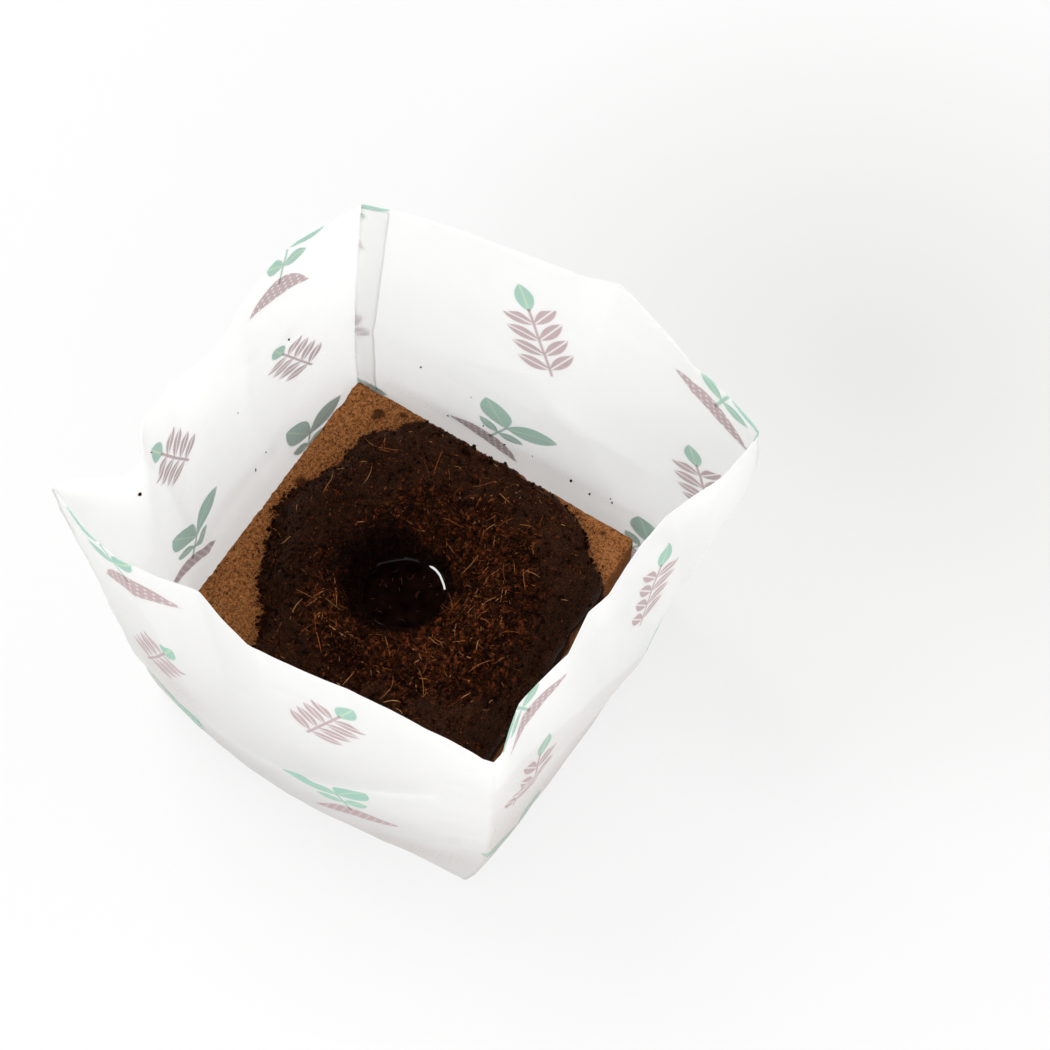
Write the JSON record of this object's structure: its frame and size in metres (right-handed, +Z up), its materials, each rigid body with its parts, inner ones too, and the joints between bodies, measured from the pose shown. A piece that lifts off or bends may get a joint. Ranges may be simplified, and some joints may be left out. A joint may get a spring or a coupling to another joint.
{
  "type": "coir pot",
  "caption": "Square cloth grow bag standing open round a pressed coir block, with a wet coir mound and a planting hole that holds water.",
  "frame": {"origin": "centre of the bag's square base, on its underside", "axes": "+Z up along the bag's height, +X towards the near-right wall, +Y towards the far-right wall"},
  "size_m": [0.2571, 0.2582, 0.23],
  "materials": {
    "cloth": "thin white spunbond cloth, matt, with a mauve and green print",
    "dry_coir": "pressed dry coir pith, matt and granular",
    "wet_coir": "soaked coir pith and fibre, dark, slightly glossy",
    "water": "still dark water, mirror smooth",
    "fibre": "wet orange-brown coconut fibre, satin"
  },
  "bodies": {
    "bag": {"wall_far_right": "cloth", "wall_far_left": "cloth", "wall_near_left": "cloth", "wall_near_right": "cloth", "seam_lap": "cloth", "base_panel": "cloth"},
    "coir_fill": {"dry_block": "dry_coir", "wet_mound": "wet_coir", "water_pool": "water", "fibre_tuft_01": "fibre", "fibre_tuft_02": "fibre", "fibre_tuft_03": "fibre", "fibre_tuft_04": "fibre", "fibre_tuft_05": "fibre", "fibre_tuft_06": "fibre", "fibre_tuft_07": "fibre", "fibre_tuft_08": "fibre", "fibre_tuft_09": "fibre", "fibre_tuft_10": "fibre", "fibre_tuft_11": "fibre", "fibre_tuft_12": "fibre"}
  },
  "joints": [
    {"name": "coir_lift", "type": "slide", "parent": "bag", "child": "coir_fill", "axis": [0.0449, 0.01, 0.9989], "range_m": [0, 0.24]}
  ]
}
